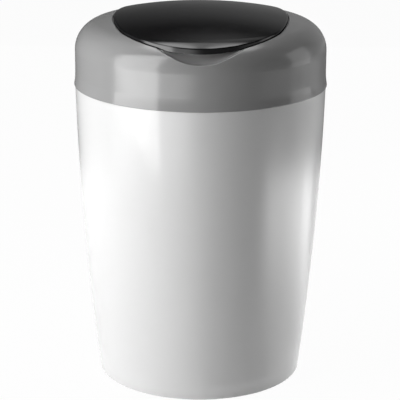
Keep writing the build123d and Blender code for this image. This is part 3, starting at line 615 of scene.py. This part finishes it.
ribs = makePiece("tubFloorRibs", ribSurfaces(ribLook), "tubWhite", "bin", weld=2e-6)
hardEdges(ribs, 25)
print("stage: ribs under the tub")

# ---- floor, world and lamps ----

floorLook = dict(halfSide=6.0, height=-0.0002, colour=0.85, shownShare=0.965)
worldLook = dict(ambient=0.04, shown=1.0)


def rayShare(tree, kinds, scale):
    rays = tree.nodes.new("ShaderNodeLightPath")
    total = rays.outputs[kinds[0]]
    for kind in kinds[1:]:
        join = tree.nodes.new("ShaderNodeMath")
        join.operation = "MAXIMUM"
        tree.links.new(total, join.inputs[0])
        tree.links.new(rays.outputs[kind], join.inputs[1])
        total = join.outputs[0]
    share = tree.nodes.new("ShaderNodeMath")
    share.operation = "MULTIPLY"
    share.inputs[1].default_value = scale
    tree.links.new(total, share.inputs[0])
    return share.outputs[0]


def mixedByRay(tree, output, hidden, shown, scale):
    mix = tree.nodes.new("ShaderNodeMixShader")
    kinds = ("Is Camera Ray", "Is Glossy Ray", "Is Transmission Ray")
    tree.links.new(rayShare(tree, kinds, scale), mix.inputs[0])
    tree.links.new(hidden.outputs[0], mix.inputs[1])
    tree.links.new(shown.outputs[0], mix.inputs[2])
    tree.links.new(mix.outputs[0], output.inputs[0])


def stagePlane(name, corners, material):
    mesh = bpy.data.meshes.new(name)
    mesh.from_pydata(corners, [], [(0, 1, 2, 3)])
    mesh.materials.append(material)
    plane = bpy.data.objects.new(name, mesh)
    bpy.context.scene.collection.objects.link(plane)
    return plane


floorMaterial = bpy.data.materials.new("floorWhite")
floorMaterial.use_nodes = True
floorTree = floorMaterial.node_tree
floorTree.nodes.clear()
floorLit = floorTree.nodes.new("ShaderNodeBsdfDiffuse")
floorLit.inputs["Color"].default_value = (*[floorLook["colour"]] * 3, 1)
floorGlow = floorTree.nodes.new("ShaderNodeEmission")
mixedByRay(floorTree, floorTree.nodes.new("ShaderNodeOutputMaterial"), floorLit, floorGlow, floorLook["shownShare"])
reach, low = floorLook["halfSide"], floorLook["height"]
stagePlane("floor", [(-reach, -reach, low), (reach, -reach, low), (reach, reach, low), (-reach, reach, low)],
           floorMaterial)

world = bpy.data.worlds.new("studio")
bpy.context.scene.world = world
world.use_nodes = True
worldTree = world.node_tree
worldTree.nodes.clear()
ambient = worldTree.nodes.new("ShaderNodeBackground")
ambient.inputs["Strength"].default_value = worldLook["ambient"]
shown = worldTree.nodes.new("ShaderNodeBackground")
shown.inputs["Strength"].default_value = worldLook["shown"]
mixedByRay(worldTree, worldTree.nodes.new("ShaderNodeOutputWorld"), ambient, shown, 1.0)

# Upright soft panels: each stands square to its azimuth at a distance, and its ends and edges are given as
# azimuths and heights. Azimuth 0 is the camera's side and 90 the right-hand side, in degrees.
panelLook = {
    "leftPanel": dict(azimuth=-17, distance=0.75, fromAzimuth=-80, toAzimuth=-35, bottom=0.0, top=1.25, power=16.4),
    "leftStrip": dict(azimuth=-60, distance=1.9, fromAzimuth=-82, toAzimuth=-40, bottom=0.0, top=1.5, power=2.2),
    "backLeftStrip": dict(azimuth=-105, distance=1.6, fromAzimuth=-121, toAzimuth=-89, bottom=0.0, top=1.3,
                          power=0.4),
    "rightPanel": dict(azimuth=118, distance=0.9, fromAzimuth=88, toAzimuth=142, bottom=0.0, top=0.4, power=3.0),
    "rightStrip": dict(azimuth=100, distance=1.8, fromAzimuth=86, toAzimuth=114, bottom=0.0, top=1.3, power=3.2),
    "backPanel": dict(azimuth=180, distance=1.7, fromAzimuth=150, toAzimuth=210, bottom=0.0, top=1.2, power=4.0),
}
overheadLook = {
    "overLeft": dict(azimuth=-110, elevation=55, distance=1.6, width=1.2, depth=0.8, power=6.0),
    "overRight": dict(azimuth=125, elevation=50, distance=1.6, width=1.0, depth=0.8, power=3.5),
    "overFrontLeft": dict(azimuth=-45, elevation=60, distance=1.8, width=1.0, depth=0.8, power=2.0),
}


def areaLamp(name, width, height, power, centre, facing):
    light = bpy.data.lights.new(name, "AREA")
    light.shape = "RECTANGLE"
    light.size, light.size_y, light.energy = width, height, power
    lamp = bpy.data.objects.new(name, light)
    bpy.context.scene.collection.objects.link(lamp)
    lamp.rotation_mode = "QUATERNION"
    lamp.rotation_quaternion = facing.to_track_quat("Z", "Y")
    lamp.location = centre
    return lamp


for name, look in panelLook.items():
    turn = math.radians(look["azimuth"])
    outward, sideways = Vector((math.sin(turn), -math.cos(turn), 0)), Vector((math.cos(turn), math.sin(turn), 0))
    ends = [look["distance"] * math.tan(math.radians(look[key] - look["azimuth"])) for key in ("fromAzimuth", "toAzimuth")]
    centre = outward * look["distance"] + sideways * sum(ends) / 2 + Vector((0, 0, (look["bottom"] + look["top"]) / 2))
    lamp = areaLamp(name, ends[1] - ends[0], look["top"] - look["bottom"], look["power"], centre, outward)
    lamp.visible_glossy = name not in ("backPanel", "rightPanel")
for name, look in overheadLook.items():
    turn, lift = math.radians(look["azimuth"]), math.radians(look["elevation"])
    outward = Vector((math.sin(turn) * math.cos(lift), -math.cos(turn) * math.cos(lift), math.sin(lift)))
    centre = Vector((0, 0, 0.25)) + outward * look["distance"]
    lamp = areaLamp(name, look["width"], look["depth"], look["power"], centre, outward)
    lamp.visible_glossy = False  # the surround's ceiling stands for these in reflections

# Studio surround that only reflections see: a white floor near the part with lit patches left and right of
# it, and dim walls and ceiling beyond, which keep the black lid black.
surroundLook = dict(radius=2.4, height=2.6, hole=0.13, floorNear=0.95, floorFade=(0.65, 0.95), frontShade=0.75,
                    rightPatch=3.0, farLeft=1.7, farFront=0.12, farRight=0.4, farBack=0.05, wall=0.04,
                    wallBack=0.2, highBack=0.5, ceiling=3.8, ceilingFront=0.2, ceilingRight=0.8, azimuthSteps=90, radiusSteps=48, wallSteps=30)


# A round room. The first parameter is the azimuth, the second runs out over the floor, up the wall and in
# over the ceiling. Its glow is a sum of sectors with soft ends, each faded by height or distance.
def surroundSurface(look):
    out = np.linspace(look["hole"], look["radius"], look["radiusSteps"])
    up = np.linspace(0, look["height"], look["wallSteps"])
    radius = np.concatenate([out, np.full(look["wallSteps"], look["radius"]), out[::-1]])
    height = np.concatenate([np.full_like(out, 0.001), up, np.full_like(out, look["height"])])
    azimuth = np.arange(look["azimuthSteps"]) / look["azimuthSteps"] * 360 - 180
    azimuth, radius = np.meshgrid(azimuth, radius, indexing="ij")
    height = np.broadcast_to(height, radius.shape)

    def sector(start, stop, soft):
        away = np.abs((azimuth - (start + stop) / 2 + 180) % 360 - 180)
        return smoothStep(((stop - start) / 2 + soft / 2 - away) / soft)

    onFloor = height < 0.01
    near = onFloor * smoothStep((look["floorFade"][1] - radius) / (look["floorFade"][1] - look["floorFade"][0]))
    far = onFloor - near
    high = smoothStep((height - 1.8) / 0.75)
    near = near * (1 - look["frontShade"] * sector(-4, 52, 30))
    outward = smoothStep((radius - 0.15) / 0.5)
    glow = near * (look["floorNear"] + look["rightPatch"] * outward * sector(58, 125, 20))
    glow += far * (look["farLeft"] * sector(-80, -8, 24) + look["farFront"] * sector(-8, 50, 24)
                   + look["farRight"] * sector(54, 130, 20) + look["farBack"] * sector(130, 280, 20))
    glow += ~onFloor * (look["wall"] * smoothStep((1.2 - height) / 0.9) + look["wallBack"] * sector(132, 184, 50) * smoothStep((2.0 - height) / 0.9)
                        + look["highBack"] * high * sector(162, 180, 36))
    overhead = (height > look["height"] - 0.01) * smoothStep((1.5 - radius) / 0.6)
    sides = sector(-160, -45, 60) + look["ceilingRight"] * sector(60, 150, 60)
    glow += look["ceiling"] * overhead * np.minimum(1, look["ceilingFront"] + sides)
    turn = np.radians(azimuth)
    return np.stack([radius * np.sin(turn), -radius * np.cos(turn), height], 2), glow


surroundGrid, surroundGlow = surroundSurface(surroundLook)
surroundMesh = bpy.data.meshes.new("studioSurround")
rows, columns = surroundGlow.shape
surroundMesh.from_pydata(surroundGrid.reshape(-1, 3), [], gridQuads(rows, columns, True, False))
glowLayer = surroundMesh.attributes.new("glow", "FLOAT", "POINT")
glowLayer.data.foreach_set("value", surroundGlow.astype(np.float32).ravel())
surroundMaterial = bpy.data.materials.new("studioSurround")
surroundMaterial.use_nodes = True
surroundTree = surroundMaterial.node_tree
surroundTree.nodes.clear()
glowNode = surroundTree.nodes.new("ShaderNodeAttribute")
glowNode.attribute_name = "glow"
glowLight = surroundTree.nodes.new("ShaderNodeEmission")
surroundTree.links.new(glowNode.outputs["Fac"], glowLight.inputs["Strength"])
surroundTree.links.new(glowLight.outputs[0], surroundTree.nodes.new("ShaderNodeOutputMaterial").inputs[0])
surroundMesh.materials.append(surroundMaterial)
surround = bpy.data.objects.new("studioSurround", surroundMesh)
bpy.context.scene.collection.objects.link(surround)
surround.visible_camera = surround.visible_diffuse = surround.visible_transmission = surround.visible_shadow = False
print("stage: floor, world and lamps")

# ---- camera ----

cameraLook = dict(position=(0, -1.745, 0.715), pitch=16.89, roll=0.28, lens=153.0, sensor=36.0)
cameraData = bpy.data.cameras.new("photoCamera")
cameraData.lens, cameraData.sensor_width = cameraLook["lens"], cameraLook["sensor"]
camera = bpy.data.objects.new("photoCamera", cameraData)
bpy.context.scene.collection.objects.link(camera)
tilt = Matrix.Rotation(math.radians(90 - cameraLook["pitch"]), 4, "X")
roll = Matrix.Rotation(math.radians(cameraLook["roll"]), 4, "Z")
camera.matrix_world = Matrix.Translation(cameraLook["position"]) @ tilt @ roll
bpy.context.scene.camera = camera
bpy.context.scene.view_settings.view_transform = "Standard"
